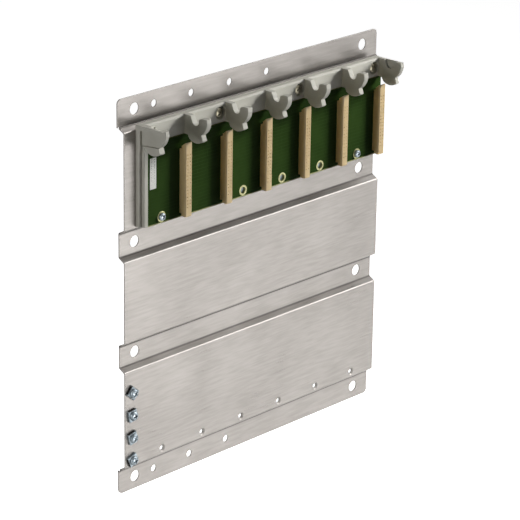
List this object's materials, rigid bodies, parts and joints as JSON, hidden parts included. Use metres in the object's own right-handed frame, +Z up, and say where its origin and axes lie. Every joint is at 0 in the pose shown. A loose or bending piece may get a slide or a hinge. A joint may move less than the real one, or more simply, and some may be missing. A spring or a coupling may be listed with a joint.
{
  "type": "plc rack",
  "caption": "Slotted backplane rack for control modules: a folded steel sheet with raised bands, a hooked moulding, and a circuit board with beige plug connectors.",
  "frame": {"origin": "centre of the rectangle of mounting holes, on the plane of the wall behind the flanges", "axes": "+Z up, +X to the right seen from the front, +Y into the wall, so the rack stands forward toward -Y"},
  "size_m": [0.265, 0.0335, 0.29],
  "materials": {
    "sheet_steel": "fine brushed",
    "bracket_plastic": "moulded grey",
    "board_green": "green solder mask",
    "connector_beige": "moulded beige",
    "contact_brass": "plated",
    "plated_gold": "plated",
    "label_white": "paper",
    "zinc_plate": "bright zinc plate",
    "dark_screw": "black oxide"
  },
  "bodies": {
    "root": {"backplane_sheet": "sheet_steel", "hook_bracket": "bracket_plastic", "circuit_board": "board_green", "plated_rings": "plated_gold", "board_label": "label_white", "connector_1": "connector_beige", "connector_2": "connector_beige", "connector_3": "connector_beige", "connector_4": "connector_beige", "connector_5": "connector_beige", "connector_6": "connector_beige", "contacts_1": "contact_brass", "contacts_2": "contact_brass", "contacts_3": "contact_brass", "contacts_4": "contact_brass", "contacts_5": "contact_brass", "contacts_6": "contact_brass", "board_screw_1": "zinc_plate", "board_screw_2": "zinc_plate", "standoff_1": "zinc_plate", "standoff_2": "zinc_plate", "standoff_3": "zinc_plate", "standoff_4": "zinc_plate", "standoff_5": "zinc_plate", "bracket_screw_1": "dark_screw", "bracket_screw_2": "dark_screw", "bracket_screw_3": "dark_screw", "clamp_washer_1": "zinc_plate", "clamp_washer_2": "zinc_plate", "clamp_washer_3": "zinc_plate", "clamp_washer_4": "zinc_plate", "ground_screw_1": "zinc_plate", "ground_screw_2": "zinc_plate", "ground_screw_3": "zinc_plate", "ground_screw_4": "zinc_plate"}
  },
  "joints": []
}
